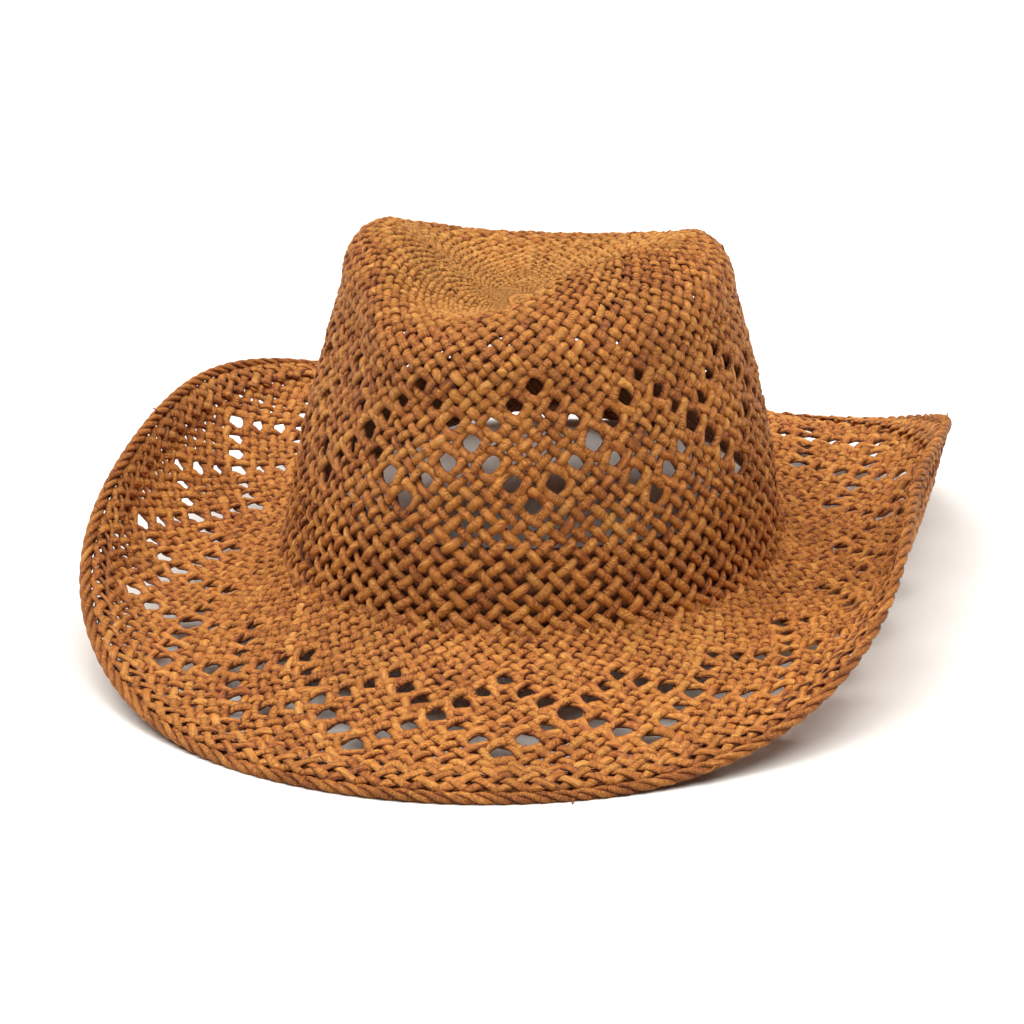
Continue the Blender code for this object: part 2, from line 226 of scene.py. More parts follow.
class Tubes:
    """Gathers flattened tubes and makes one mesh of them, with a UV map and a tint for each strand."""

    def __init__(self, name):
        self.name = name
        self.points, self.quads, self.caps, self.uvs, self.tints = [], [], [], [], []
        self.count = 0

    def add(self, centres, normals, half_width, half_thick, tint, sides=6, looped=False, twist=None):
        """A tube along the centres, flat across the normals. A width is one number or one for each centre."""
        n = len(centres)
        if looped:
            tangent = np.roll(centres, -1, 0) - np.roll(centres, 1, 0)
        else:
            tangent = np.gradient(centres, axis=0)
        tangent /= np.linalg.norm(tangent, axis=1, keepdims=True)
        side = np.cross(normals, tangent)
        side /= np.linalg.norm(side, axis=1, keepdims=True)
        face = np.cross(tangent, side)
        angles = (np.arange(sides) + 0.5) * TURN / sides
        half_width = np.broadcast_to(half_width, n)
        half_thick = np.broadcast_to(half_thick, n)
        if twist is not None:
            side, face = (
                side * np.cos(twist)[:, None] + face * np.sin(twist)[:, None],
                face * np.cos(twist)[:, None] - side * np.sin(twist)[:, None],
            )
        ring = (
            centres[:, None]
            + side[:, None] * (half_width[:, None] * np.cos(angles))[..., None]
            + face[:, None] * (half_thick[:, None] * np.sin(angles))[..., None]
        )
        rows = n if looped else n - 1
        i = np.arange(rows)[:, None]
        j = np.arange(sides)[None]
        a, b = i * sides, (i + 1) % n * sides
        k = (j + 1) % sides
        quads = np.stack([a + j, a + k, b + k, b + j], -1).reshape(-1, 4)
        self.quads.append(quads + self.count)
        length = np.concatenate([[0], np.cumsum(np.linalg.norm(np.diff(centres, axis=0), axis=1))])
        if looped:
            length = np.append(length, length[-1] + np.linalg.norm(centres[0] - centres[-1]))
        around_share = np.arange(sides + 1) / sides
        low = np.broadcast_to(length[:rows, None], (rows, sides))
        high = np.broadcast_to(length[1 : rows + 1, None], (rows, sides))
        left = np.broadcast_to(around_share[None, :-1], (rows, sides))
        right = np.broadcast_to(around_share[None, 1:], (rows, sides))
        corners = np.stack([low, left, low, right, high, right, high, left], -1)
        self.uvs.append(corners.reshape(-1, 2))
        if not looped:
            start = [self.count + s for s in reversed(range(sides))]
            end = [self.count + (n - 1) * sides + s for s in range(sides)]
            self.caps += [start, end]
        self.points.append(ring.reshape(-1, 3))
        self.tints.append(np.repeat(np.broadcast_to(tint, n), sides))
        self.count += n * sides

    def make(self, finish):
        """Makes the mesh object. Nothing of it goes below the ground."""
        points = standing(np.concatenate(self.points))
        points[:, 2] = np.maximum(points[:, 2], 0)
        quads = np.concatenate(self.quads)
        caps = np.array([v for cap in self.caps for v in cap], int)
        cap_sizes = [len(cap) for cap in self.caps]
        loops = np.concatenate([quads.reshape(-1), caps])
        sizes = np.concatenate([np.full(len(quads), 4), cap_sizes]).astype(int)
        mesh = bpy.data.meshes.new(self.name)
        mesh.vertices.add(len(points))
        mesh.vertices.foreach_set("co", points.astype(np.float32).reshape(-1))
        mesh.loops.add(len(loops))
        mesh.loops.foreach_set("vertex_index", loops.astype(np.int32))
        mesh.polygons.add(len(sizes))
        starts = np.concatenate([[0], np.cumsum(sizes)[:-1]])
        mesh.polygons.foreach_set("loop_start", starts.astype(np.int32))
        mesh.update(calc_edges=True)
        uv = np.concatenate([np.concatenate(self.uvs), np.zeros((len(caps), 2))])
        layer = mesh.uv_layers.new(name="strand")
        layer.uv.foreach_set("vector", uv.astype(np.float32).reshape(-1))
        tint = mesh.attributes.new("tint", "FLOAT", "POINT")
        tint.data.foreach_set("value", np.concatenate(self.tints).astype(np.float32))
        mesh.validate()
        mesh.polygons.foreach_set("use_smooth", np.ones(len(mesh.polygons), bool))
        mesh.materials.append(finish)
        made = bpy.data.objects.new(self.name, mesh)
        bpy.context.scene.collection.objects.link(made)
        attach(made, "root")
        return made


# ---------------------------------------------------------------------------------------------------
# The weave. A point of it has a place p round the hat and a row s, both counted in half cells. One set of
# straws runs along p = 2i + 1 + s and the other along p = 2i + 1 - s, so they cross wherever s is whole.
# In each row of crossings the same set lies on top, and the rows take turns.

DIAMOND = 12  # half cells round the hat from one lace diamond to the next
LACE_ARM = 6  # half cells from a diamond's crossing point to its end
LACE_RADIUS = 3.75  # of a lace hole
LACE_FADE = 2.6  # half cells over which the weave closes up again round a hole
LACE_HOLES = 11  # in each diamond
POINTS_PER_CROSSING = 3
CELL_HEIGHT = 0.95  # of a cell over its width, on the crown
CELL_ROOM = 1.38  # between neighbouring straws, over the width of a half cell
HALF_STRAW = 1.76  # half of a straw's width, where it has room
THICKNESS = 0.54  # half of a straw's thickness over half of its width
THINNEST = 0.34
THICKEST = 0.95
LIFT = 0.76  # how far a straw rises where it goes over another
SWAY = 0.09  # half cells by which a straw wanders
CURL = 0.42  # how far a straw rolls from side to side along its length
TUCK_SLOPE = 0.4  # how fast straws dive under the next sheet
TUCK_REACH = 3.0
PAINTED_TOP_LIGHT = 0.62  # how much lighter the straws over the crest and in the dent are painted: painted light from above


def lace_holes():
    """(place, row, size) of each hole in a diamond: two crossing lines of holes, the crossing one larger."""
    holes = [(0, 0, 1.3)]
    for step in (2, 4):
        holes += [(x, y, 1.0) for x in (-step, step) for y in (-step, step)]
    return holes + [(LACE_ARM, LACE_ARM, 1.0), (LACE_ARM, -LACE_ARM, 1.15)]


def open_lace(place, row, half_width, half_height, radius, sizes):
    """Moves points of the weave away from the middles of the lace holes."""
    move_place = np.zeros_like(place)
    move_row = np.zeros_like(row)
    for k, (hole_place, hole_row, size) in enumerate(lace_holes()):
        diamond = np.round((place - hole_place) / DIAMOND)
        dx = (place - hole_place - diamond * DIAMOND) * half_width
        dy = (row - hole_row) * half_height
        away = np.hypot(dx, dy) + 1e-6
        reach = radius * size * sizes[k, diamond.astype(int) % sizes.shape[1]]
        fade = np.exp(-((away / (LACE_FADE * half_width)) ** 2))
        push = (np.hypot(away, reach) - away) * fade / away
        move_place += dx * push / half_width
        move_row += dy * push / half_height
    return place + move_place, row + move_row


def ripple(rng, turns, strength):
    """A soft random unevenness over the weave that closes on itself round the hat."""
    waves = [
        (rng.integers(4, 36), rng.uniform(0.1, 0.9), rng.uniform(0, TURN), rng.uniform(0.5, 1.0))
        for _ in range(9)
    ]

    def field(place, row):
        angle = place * TURN / turns
        total = sum(size * np.sin(n * angle + m * row + phase) for n, m, phase, size in waves)
        return strength * total / 2

    return field


def row_table(half_turns, start_row):
    """How the rows lie on the crown: a cell is about as tall as it is wide. Gives phi, rows and stages."""
    phi = np.linspace(0, TURN, 361)
    dent = np.linspace(2, 2.96, 120)[1:]
    stage = np.concatenate([np.linspace(0, 1, 60), np.linspace(1, 2, 61)[1:], dent])
    grid = crown_middle(*np.meshgrid(phi, stage, indexing="ij"))
    step = np.linalg.norm(np.diff(grid, axis=1), axis=2)
    middle = (grid[:, 1:] + grid[:, :-1]) / 2
    radius = np.linalg.norm(middle[..., :2], axis=2)
    inner = np.linalg.norm(middle[..., :2] - DENT_CENTRE, axis=2)
    share = np.clip((stage[1:] + stage[:-1]) / 2 - 2, 0, 1)
    radius = (radius * (1 - share) + inner * share).mean(axis=0)
    height = CELL_HEIGHT * radius * TURN / half_turns
    rows = start_row + np.concatenate([np.zeros((len(phi), 1)), np.cumsum(step / height, axis=1)], axis=1)
    return phi, rows, stage


CROWN_STRAWS = 72
CROWN_HALF_TURNS = 2 * CROWN_STRAWS
LACE_CELL = 3.45  # width of a half cell at the crown's lace
LACE_ROW = 3.2  # height of a row there
CROWN_ROW = 3.7  # and of one near the head opening
BREAK_ROW = -18.3  # where the crown's wall starts, in rows below the middle of its lace
CROWN_TURN = 0.4  # of a half cell, by which the whole crown weave is turned
SIDE_CROWDING = 0.045  # the straws stand a little closer at the sides than at the ends
TABLE_END = 90  # a row past the last one that is used
ROUND, ROWS, STAGES = row_table(CROWN_HALF_TURNS, BREAK_ROW)
ROW_STEPS = np.linspace(BREAK_ROW, TABLE_END, 900)
STAGE_AT = np.stack([np.interp(ROW_STEPS, ROWS[i], STAGES) for i in range(len(ROUND))])


def crowded(even):
    """The angle round the hat of a straw that would stand at an even angle, were there no crowding."""
    phi = even
    for _ in range(4):
        phi = even + SIDE_CROWDING * np.sin(2 * phi)
    return phi


def crown_stage(phi, row):
    """The stage of a row of the weave, read from the table."""
    x = np.mod(phi, TURN) / TURN * (len(ROUND) - 1)
    y = np.clip((row - ROW_STEPS[0]) / (ROW_STEPS[1] - ROW_STEPS[0]), 0, len(ROW_STEPS) - 1.001)
    i, j = np.floor(x).astype(int), np.floor(y).astype(int)
    fx, fy = x - i, y - j
    i2 = (i + 1) % len(ROUND)
    low = STAGE_AT[i, j] * (1 - fx) + STAGE_AT[i2, j] * fx
    high = STAGE_AT[i, j + 1] * (1 - fx) + STAGE_AT[i2, j + 1] * fx
    return low * (1 - fy) + high * fy


def crown_angle(place):
    """The angle round the hat of a place in the crown's weave."""
    return crowded((place - CROWN_TURN) * TURN / CROWN_HALF_TURNS)


CORNER = 1.4  # how far the corner between crown and brim is filled
CORNER_REACH = 5.0


def corner_fill(phi, distance):
    """Rounds the corner between crown and brim: how far its points move out and up."""
    size = CORNER * np.exp(-((distance / CORNER_REACH) ** 2))[..., None]
    return size * np.concatenate([outward(phi), np.ones_like(phi)[..., None]], -1)


def tucked(up, past):
    """The height off the sheet of straws that dive under the next sheet, past the line where they meet."""
    return up - TUCK_SLOPE * np.clip(past, 0, TUCK_REACH)


def crown_place(place, row, up):
    """A point of the crown's weave. Below the break line it tucks in under the brim."""
    phi = crown_angle(place)
    below = np.clip(BREAK_ROW - row, 0, None) * CROWN_ROW
    height = np.clip(row - BREAK_ROW, 0, None) * CROWN_ROW
    wall = on_crown(phi, crown_stage(phi, row), up)
    under = on_brim(phi, below, tucked(up, below))
    mixed = np.where((row >= BREAK_ROW)[..., None], wall, under)
    return mixed + corner_fill(phi, height + below)


BRIM_STRAWS = 120
BRIM_HALF_TURNS = 2 * BRIM_STRAWS
BRIM_LACE_OUT = 38.5  # from the head opening to the middle of the brim's lace
BRIM_LACE_CELL = 3.4  # width of a half cell there
BRIM_ROW = 2.75  # height of a row
BRIM_START_ROW = -BRIM_LACE_OUT / BRIM_ROW
HEM_FLAT = 0.6  # how far the hem's straws are pressed flat
PATH_SPARE = 3.0  # of the path past the hem's end, for straws that wander


def fold_path():
    """The middle of the brim's sheet near the edge: flat, down round the wire, and back over itself."""
    radius = FOLD_RADIUS - HEM_STRAW / 2
    over = STRAW / 2 + HEM_GAP + HEM_STRAW / 2
    arc = [
        (FOLD_OUT + radius * math.cos(a), FOLD_UP + radius * math.sin(a))
        for a in np.linspace(-math.pi / 2, math.pi / 2, 13)
    ]
    path = [(0, 0), (FOLD_OUT - 5, 0), (FOLD_OUT - 2, -0.12), *arc, (FOLD_OUT - 2, over + 0.25)]
    path += [(FOLD_OUT - 4.5, over), (FOLD_EDGE - HEM_DEPTH - PATH_SPARE, over)]
    return np.array(path)


FOLD = fold_path()
FOLD_LENGTH = np.concatenate([[0], np.cumsum(np.linalg.norm(np.diff(FOLD, axis=0), axis=1))])
SHEET_ROWS = BRIM_START_ROW + (FOLD_OUT - 2) / BRIM_ROW
HEM_END_ROW = BRIM_START_ROW + (FOLD_LENGTH[-1] - PATH_SPARE) / BRIM_ROW


def brim_place(place, row, up):
    """A point of the brim's weave. Inside the break line it tucks in behind the crown."""
    phi = crowded(place * TURN / BRIM_HALF_TURNS)
    far = (row - BRIM_START_ROW) * BRIM_ROW
    inside = np.clip(-far, 0, None)
    far = np.clip(far, 0, None)
    out = np.interp(far, FOLD_LENGTH, FOLD[:, 0])
    rise = np.interp(far, FOLD_LENGTH, FOLD[:, 1])
    near = 0.4
    far = np.minimum(far, FOLD_LENGTH[-1] - near)
    tangent_out, tangent_up = (
        np.interp(far + near, FOLD_LENGTH, FOLD[:, k]) - np.interp(far - near, FOLD_LENGTH, FOLD[:, k])
        for k in (0, 1)
    )
    size = np.hypot(tangent_out, tangent_up)
    outer = on_brim(phi, out - tangent_up / size * up, rise + tangent_out / size * up)
    behind = on_crown(phi, wall_stage(phi, inside), tucked(up, inside))
    mixed = np.where((inside > 0)[..., None], behind, outer)
    return mixed + corner_fill(phi, np.where(inside > 0, inside, far))


def straw_run(
    tubes, rng, put, straws, rows, family, unevenness, lace, spacing,
    close=0.95, flat=1.0, wander=1.0, painted_top_light=None,
):
    """Lays one family of the weave's straws into tubes, from the first row to the last.

    put turns a place, a row and a height into a point, and spacing gives the room there. close is how much
    of that room a straw fills. A flat under 1 presses the straws down, a wander under 1 lays them more
    evenly, and the last argument lightens some of them with painted light from above.
    """
    start, end = rows
    steps = int(round((end - start) * POINTS_PER_CROSSING)) + 1
    row = np.linspace(start, end, steps)
    for i in range(straws):
        place = 2 * i + 1 + family * row
        wave = np.cos(math.pi * row)
        wave = np.sign(wave) * np.abs(wave) ** 0.8
        sway = SWAY * wander * smooth_noise(rng, steps, 5)
        p = place + unevenness[0](place, row) + sway
        s = row + unevenness[1](place, row) - family * sway
        if lace is not None:
            p, s = open_lace(p, s, *lace)
        lift = flat * family * LIFT * wave * (1 + 0.3 * wander * smooth_noise(rng, steps, 3))
        centres = put(p, s, lift)
        normals = put(p, s, lift + 0.5) - centres
        grow = 1 + 0.12 * smooth_noise(rng, steps, 5) + rng.uniform(-0.1, 0.06) + 0.10 * family * wave
        width = np.minimum(HALF_STRAW, close * spacing(p, s) / 2) * grow
        body = flat * np.clip(THICKNESS * width, THINNEST, THICKEST)
        thick = body * (1 + 0.2 * wander * smooth_noise(rng, steps, 4))
        own = rng.normal()
        tint = np.clip(0.5 + 0.15 * own + 0.20 * smooth_noise(rng, steps, 6), 0, 1)
        # Painted light: straws over the crest and in the dent are painted lighter, standing in for the light
        # from above.
        if painted_top_light is not None:
            tint = tint + painted_top_light(p, s)
        twist = flat * wander * CURL * smooth_noise(rng, steps, 4)
        tubes.add(centres, normals, width, thick, tint, twist=twist)


def crown_spacing(place, row):
    """The room between neighbouring straws of the crown's weave."""
    phi = crown_angle(place)
    stage = crown_stage(phi, row)
    points = crown_middle(phi, stage)
    share = np.clip(stage - 2, 0, 1)[..., None]
    radius = np.linalg.norm(points[..., :2] - share * np.array(DENT_CENTRE), axis=-1)
    return CELL_ROOM * radius * TURN / CROWN_HALF_TURNS


def crown_painted_top_light(place, row):
    """Painted light: the straws are painted lighter over the crest, where the light from above falls on them.
    """
    return PAINTED_TOP_LIGHT * np.clip((crown_stage(crown_angle(place), row) - 1.75) / 0.45, 0, 1)


def dent_painted_top_light(place, row):
    """All of the dent's own straws are painted lighter, as painted light from above."""
    return np.full_like(place, PAINTED_TOP_LIGHT)


DENT_ROW = 33.0  # where the crown's straws stop, inside the dent
DENT_STRAWS = 56
DENT_HALF_TURNS = 2 * DENT_STRAWS
DENT_ROWS = 31.0
DENT_OVERLAP = 3.0  # rows over which the dent's own straws run in under the crown's
DENT_TUCK = 1.1
DENT_SHRINK = CELL_HEIGHT * TURN / DENT_HALF_TURNS  # how much nearer the middle each row lies
COIL_TURNS = 3.0
COIL_REACH = 0.13  # of the way to the crest
COIL_HOLE = 0.012


def dent_reach(place, row):
    """How far from the dent's middle a row lies, as a share of the way to the crest."""
    phi = place * TURN / DENT_HALF_TURNS
    start = 3 - crown_stage(phi, np.full_like(phi, DENT_ROW - DENT_OVERLAP))
    return start * np.exp(-DENT_SHRINK * row)


def dent_place(place, row, up):
    phi = place * TURN / DENT_HALF_TURNS
    tuck = DENT_TUCK * np.clip(1 - row / DENT_OVERLAP, 0, 1)
    return on_crown(phi, 3 - dent_reach(place, row), up - tuck)


def dent_spacing(place, row):
    phi = place * TURN / DENT_HALF_TURNS
    return CELL_ROOM * dent_reach(place, row) * around(phi, CREST_RADIUS) * TURN / DENT_HALF_TURNS


def brim_spacing(place, row):
    far = (row - BRIM_START_ROW) * BRIM_ROW
    across = (OPENING_RADIUS + np.clip(far, 0, FOLD_OUT)) * TURN / BRIM_HALF_TURNS
    return 2 * across * BRIM_ROW / np.hypot(across, BRIM_ROW)


# ---------------------------------------------------------------------------------------------------
# Materials.


def new_material(name):
    made = bpy.data.materials.new(name)
    made.use_nodes = True
    return made, made.node_tree.nodes, made.node_tree.links, made.node_tree.nodes["Principled BSDF"]


def node(nodes, kind, **settings):
    made = nodes.new(kind)
    for key, value in settings.items():
        setattr(made, key, value)
    return made


def math_node(nodes, links, operation, *values):
    """A Math node's output, with each input a number or another node's output."""
    made = node(nodes, "ShaderNodeMath", operation=operation)
    for socket, value in zip(made.inputs, values):
        if isinstance(value, float):
            socket.default_value = value
        else:
            links.new(value, socket)
    return made.outputs["Value"]


def noise(nodes, links, vector, scale, detail=2.0):
    made = node(nodes, "ShaderNodeTexNoise")
    made.inputs["Scale"].default_value = scale
    made.inputs["Detail"].default_value = detail
    links.new(vector, made.inputs["Vector"])
    return made.outputs["Fac"]


def ramp(nodes, links, source, stops):
    """A colour for each value of the source."""
    made = nodes.new("ShaderNodeValToRGB")
    elements = made.color_ramp.elements
    while len(elements) < len(stops):
        elements.new(0.5)
    for element, (position, colour) in zip(elements, stops):
        element.position = position
        element.color = (*colour, 1)
    links.new(source, made.inputs["Fac"])
    return made.outputs["Color"]


def set_roughness(nodes, links, shader, source, low, high):
    """Varies the roughness between two values."""
    spread = node(nodes, "ShaderNodeMapRange")
    spread.inputs["To Min"].default_value = low
    spread.inputs["To Max"].default_value = high
    links.new(source, spread.inputs["Value"])
    links.new(spread.outputs["Result"], shader.inputs["Roughness"])


def set_bump(nodes, links, shader, height, strength, distance):
    made = node(nodes, "ShaderNodeBump")
    made.inputs["Strength"].default_value = strength
    made.inputs["Distance"].default_value = distance
    links.new(height, made.inputs["Height"])
    links.new(made.outputs["Normal"], shader.inputs["Normal"])


STRAW_STOPS = (
    (0.10, (0.12, 0.026, 0.004)),
    (0.32, (0.31, 0.082, 0.012)),
    (0.50, (0.46, 0.155, 0.025)),
    (0.66, (0.56, 0.215, 0.036)),
    (0.88, (0.68, 0.320, 0.075)),
)
STRAND_STEP = 57.0  # between the noises of two strands whose tints differ by one


def straw_material(name, painted_shade_across_tone=0.28):
    """Twisted paper straw: creased along its length, and its colour changes from strand to strand. Each
    strand's sides are painted darker than the middles of its faces: painted shade where the straws curve away
    and meet.
    """
    made, nodes, links, shader = new_material(name)
    uv = node(nodes, "ShaderNodeUVMap", uv_map="strand")
    tint = node(nodes, "ShaderNodeAttribute", attribute_name="tint")
    spread = math_node(nodes, links, "MULTIPLY", tint.outputs["Fac"], STRAND_STEP)

    def along_strand(scale, turn, detail):
        """A noise drawn out along the strand, different in each strand."""
        stretch = node(nodes, "ShaderNodeMapping")
        stretch.inputs["Scale"].default_value = (*scale, 1.0)
        stretch.inputs["Rotation"].default_value = (0, 0, turn)
        links.new(uv.outputs["UV"], stretch.inputs["Vector"])
        offset = node(nodes, "ShaderNodeVectorMath", operation="ADD")
        links.new(stretch.outputs["Vector"], offset.inputs[0])
        links.new(spread, offset.inputs[1])
        return noise(nodes, links, offset.outputs["Vector"], 1.0, detail)

    crease = along_strand((0.30, 6.0), 0.14, 1.5)
    fibre = along_strand((0.6, 22.0), 0.10, 3.0)
    dab = along_strand((0.28, 0.0), 0.0, 2.0)

    split = node(nodes, "ShaderNodeSeparateXYZ")
    links.new(uv.outputs["UV"], split.inputs["Vector"])
    # Painted shade across each strand: lighter along the middles of its faces, darker at its sides where it
    # curves down between its neighbours.
    round_strand = math_node(nodes, links, "MULTIPLY_ADD", split.outputs["Y"], TURN, TURN / 12)
    height_on_strand = math_node(nodes, links, "SINE", round_strand)
    painted_shade_across = math_node(nodes, links, "MULTIPLY", height_on_strand, height_on_strand)
    total = math_node(nodes, links, "MULTIPLY_ADD", tint.outputs["Fac"], 0.45, -0.63 - 0.7 * painted_shade_across_tone)
    for source, share in ((painted_shade_across, painted_shade_across_tone), (crease, 0.85), (dab, 0.50), (fibre, 0.50)):
        total = math_node(nodes, links, "MULTIPLY_ADD", source, share, total)

    place = node(nodes, "ShaderNodeTexCoord")
    blotch = noise(nodes, links, place.outputs["Object"], 22.0)
    shade = node(nodes, "ShaderNodeMix", data_type="RGBA", blend_type="MULTIPLY")
    shade.inputs["Factor"].default_value = 1.0
    links.new(ramp(nodes, links, total, STRAW_STOPS), shade.inputs["A"])
    tone = ramp(nodes, links, blotch, ((0.34, (0.90, 0.87, 0.84)), (0.62, (1.04, 1.03, 1.02))))
    links.new(tone, shade.inputs["B"])
    links.new(shade.outputs["Result"], shader.inputs["Base Color"])

    set_roughness(nodes, links, shader, fibre, 0.38, 0.62)
    height = math_node(nodes, links, "MULTIPLY_ADD", fibre, 0.8, crease)
    set_bump(nodes, links, shader, height, 0.85, 0.0014)
    shader.inputs["Sheen Weight"].default_value = 0.04
    shader.inputs["Sheen Roughness"].default_value = 0.4
    shader.inputs["Specular IOR Level"].default_value = 0.30
    return made


def cloth_material(name, low, high):
    """A fine twill tape: diagonal ribs with a little colour change."""
    made, nodes, links, shader = new_material(name)
    place = node(nodes, "ShaderNodeTexCoord")
    ribs = node(nodes, "ShaderNodeTexWave", bands_direction="DIAGONAL")
    ribs.inputs["Scale"].default_value = 330.0
    ribs.inputs["Distortion"].default_value = 1.2
    links.new(place.outputs["Object"], ribs.inputs["Vector"])
    stain = noise(nodes, links, place.outputs["Object"], 40.0)
    mix = math_node(nodes, links, "MULTIPLY_ADD", ribs.outputs["Fac"], 0.4, stain)
    links.new(ramp(nodes, links, mix, ((0.3, low), (0.9, high))), shader.inputs["Base Color"])
    set_bump(nodes, links, shader, ribs.outputs["Fac"], 0.5, 0.0003)
    set_roughness(nodes, links, shader, stain, 0.75, 0.95)
    shader.inputs["Sheen Weight"].default_value = 0.3
    return made


def steel_material():
    """Steel wire with a few rust freckles."""
    made, nodes, links, shader = new_material("drawn_steel")
    place = node(nodes, "ShaderNodeTexCoord")
    freckle = noise(nodes, links, place.outputs["Object"], 300.0)
    colour = ramp(nodes, links, freckle, ((0.35, (0.56, 0.55, 0.54)), (0.68, (0.42, 0.36, 0.31))))
    links.new(colour, shader.inputs["Base Color"])
    set_roughness(nodes, links, shader, freckle, 0.25, 0.5)
    shader.inputs["Metallic"].default_value = 1.0
    return made


# ---------------------------------------------------------------------------------------------------
# Pieces.


TIP_ROW = 8.0  # where the wall's straws end and the tip's carry them on


def make_crown(straw):
    """Both families of the crown's straws, with its band of lace diamonds, up the wall and over the tip."""
    rng = np.random.default_rng(11)
    sizes = 1 + rng.uniform(-0.20, 0.14, (LACE_HOLES, CROWN_HALF_TURNS // DIAMOND))
    lace = (LACE_CELL, LACE_ROW, LACE_RADIUS, sizes)
    lean = (ripple(rng, CROWN_HALF_TURNS, 0.06), ripple(rng, CROWN_HALF_TURNS, 0.06))
    for family, side in ((1, "right"), (-1, "left")):
        wall = Tubes(f"crown_straw_{side}")
        rows = (BREAK_ROW - 2.5, TIP_ROW)
        straw_run(wall, rng, crown_place, CROWN_STRAWS, rows, family, lean, lace, crown_spacing)
        made = wall.make(straw)
        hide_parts("crown_wall")
        tip = Tubes(f"tip_straw_{side}")
        rows = (TIP_ROW, DENT_ROW)
        straw_run(
            tip, rng, crown_place, CROWN_STRAWS, rows, family, lean, lace, crown_spacing, painted_top_light=crown_painted_top_light
        )
        made = tip.make(straw)
        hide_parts("crown_tip")


def make_dent(straw):
    """The middle of the dent: fewer straws, run in under the others, round a coiled start."""
    rng = np.random.default_rng(15)
    lean = (ripple(rng, DENT_HALF_TURNS, 0.08), ripple(rng, DENT_HALF_TURNS, 0.08))
    for family, side in ((1, "right"), (-1, "left")):
        dent = Tubes(f"dent_straw_{side}")
        rows = (0, DENT_ROWS)
        straw_run(
            dent, rng, dent_place, DENT_STRAWS, rows, family, lean, None, dent_spacing,
            close=1.0, flat=0.8, painted_top_light=dent_painted_top_light,
        )
        made = dent.make(straw)
        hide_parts("crown_tip")
    coil = Tubes("crown_start")
    steps = 260
    share = np.linspace(0, 1, steps)
    phi = share * COIL_TURNS * TURN
    reach = COIL_REACH * (1 - share) + COIL_HOLE
    centres = on_crown(phi, 3 - reach, 0.5)
    normals = on_crown(phi, 3 - reach, 1.0) - centres
    # The coil is painted lighter as well: painted light from above.
    tint = 0.5 + PAINTED_TOP_LIGHT + 0.3 * smooth_noise(rng, steps, 14)
    coil.add(centres, normals, 1.15 + 0.12 * smooth_noise(rng, steps, 5), 0.75, tint)
    made = coil.make(straw)
    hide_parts("crown_tip")


def make_brim(straw):
    """Both families of the brim's straws, and the same straws turned over the wire as the hem."""
    rng = np.random.default_rng(12)
    sizes = 1 + rng.uniform(-0.18, 0.16, (LACE_HOLES, BRIM_HALF_TURNS // DIAMOND))
    lace = (BRIM_LACE_CELL, BRIM_ROW, LACE_RADIUS, sizes)
    lean = (ripple(rng, BRIM_HALF_TURNS, 0.10), ripple(rng, BRIM_HALF_TURNS, 0.10))
    for family, side in ((1, "right"), (-1, "left")):
        sheet = Tubes(f"brim_straw_{side}")
        rows = (BRIM_START_ROW - 1.5, SHEET_ROWS)
        straw_run(sheet, rng, brim_place, BRIM_STRAWS, rows, family, lean, lace, brim_spacing)
        made = sheet.make(straw)
        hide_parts("brim")
        hem = Tubes(f"hem_straw_{side}")
        rows = (SHEET_ROWS, HEM_END_ROW)
        straw_run(
            hem, rng, brim_place, BRIM_STRAWS, rows, family, lean, lace, brim_spacing,
            close=1.14, flat=HEM_FLAT, wander=0.35,
        )
        made = hem.make(straw)
        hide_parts("brim_hem")


ROPE_TURNS = 54
ROPE_STEPS = 20  # for each turn of the rope
ROPE_IN = 0.5  # how far the rope's middle lies in from the CAD braid's, so that it meets the hem
ROPE_RAISE = 0.15
ROPE_SWING_OUT = 1.25  # of its straws round the middle, sideways
ROPE_SWING_UP = 1.1
ROPE_HALF_WIDTH = 1.12
ROPE_HALF_THICK = 0.95


def make_braid(straw):
    """The roped edge: three straws twisted round each other along the brim's edge."""
    rng = np.random.default_rng(13)
    braid = Tubes("edge_rope")
    steps = ROPE_TURNS * ROPE_STEPS
    angle = np.arange(steps) * TURN / steps
    for k in range(3):
        swing = ROPE_TURNS * angle + k * TURN / 3
        out = BRAID_OUT - ROPE_IN + ROPE_SWING_OUT * np.sin(swing)
        up = BRAID_UP + ROPE_RAISE + ROPE_SWING_UP * np.cos(swing)
        centres = on_brim(angle, out, up)
        normals = on_brim(angle, out + np.sin(swing), up + np.cos(swing)) - centres
        own = 0.45 + 0.20 * smooth_noise(rng, steps, 40)
        tint = np.clip(own + 0.2 * smooth_noise(rng, steps, 9), 0, 1)
        width = ROPE_HALF_WIDTH + 0.16 * smooth_noise(rng, steps, 9)
        width[-9:] = width[0]
        braid.add(centres, normals, width, ROPE_HALF_THICK, tint, looped=True)
    made = braid.make(straw)
    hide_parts("edge_braid")


# Where loose ends stick out, in degrees round the hat.
LOOSE_ENDS = (18, 34, 66, 71, 76, 83, 84, 88, 90, 93, 97, 104, 118, 205, 262, 283)


def make_loose_ends(straw):
    """Short frayed ends of straw that stick out of the edge, most of them on the wearer's left."""
    rng = np.random.default_rng(16)
    ends = Tubes("loose_ends")
    share = np.linspace(0, 1, 6)
    for degrees in LOOSE_ENDS:
        length = rng.uniform(2.5, 5.0)
        phi = math.radians(degrees) + share * rng.uniform(-0.03, 0.03)
        out = BRAID_OUT + 1.4 + length * share * 0.62
        up = BRAID_UP + 0.9 + length * share**2 * rng.uniform(-0.5, 0.5)
        centres = on_brim(phi, out, up)
        normals = on_brim(phi, out, up + 0.5) - centres
        ends.add(centres, normals, 0.55 * (1 - 0.7 * share), 0.25, rng.uniform(0.3, 0.9), twist=1.5 * share)
    ends.make(straw)


STITCH_LENGTH = 3.3
STITCH_BOW = 0.35  # how far a hem stitch bows up between its needle holes
STITCH_SINK = 0.60  # how far its ends sink into the hem


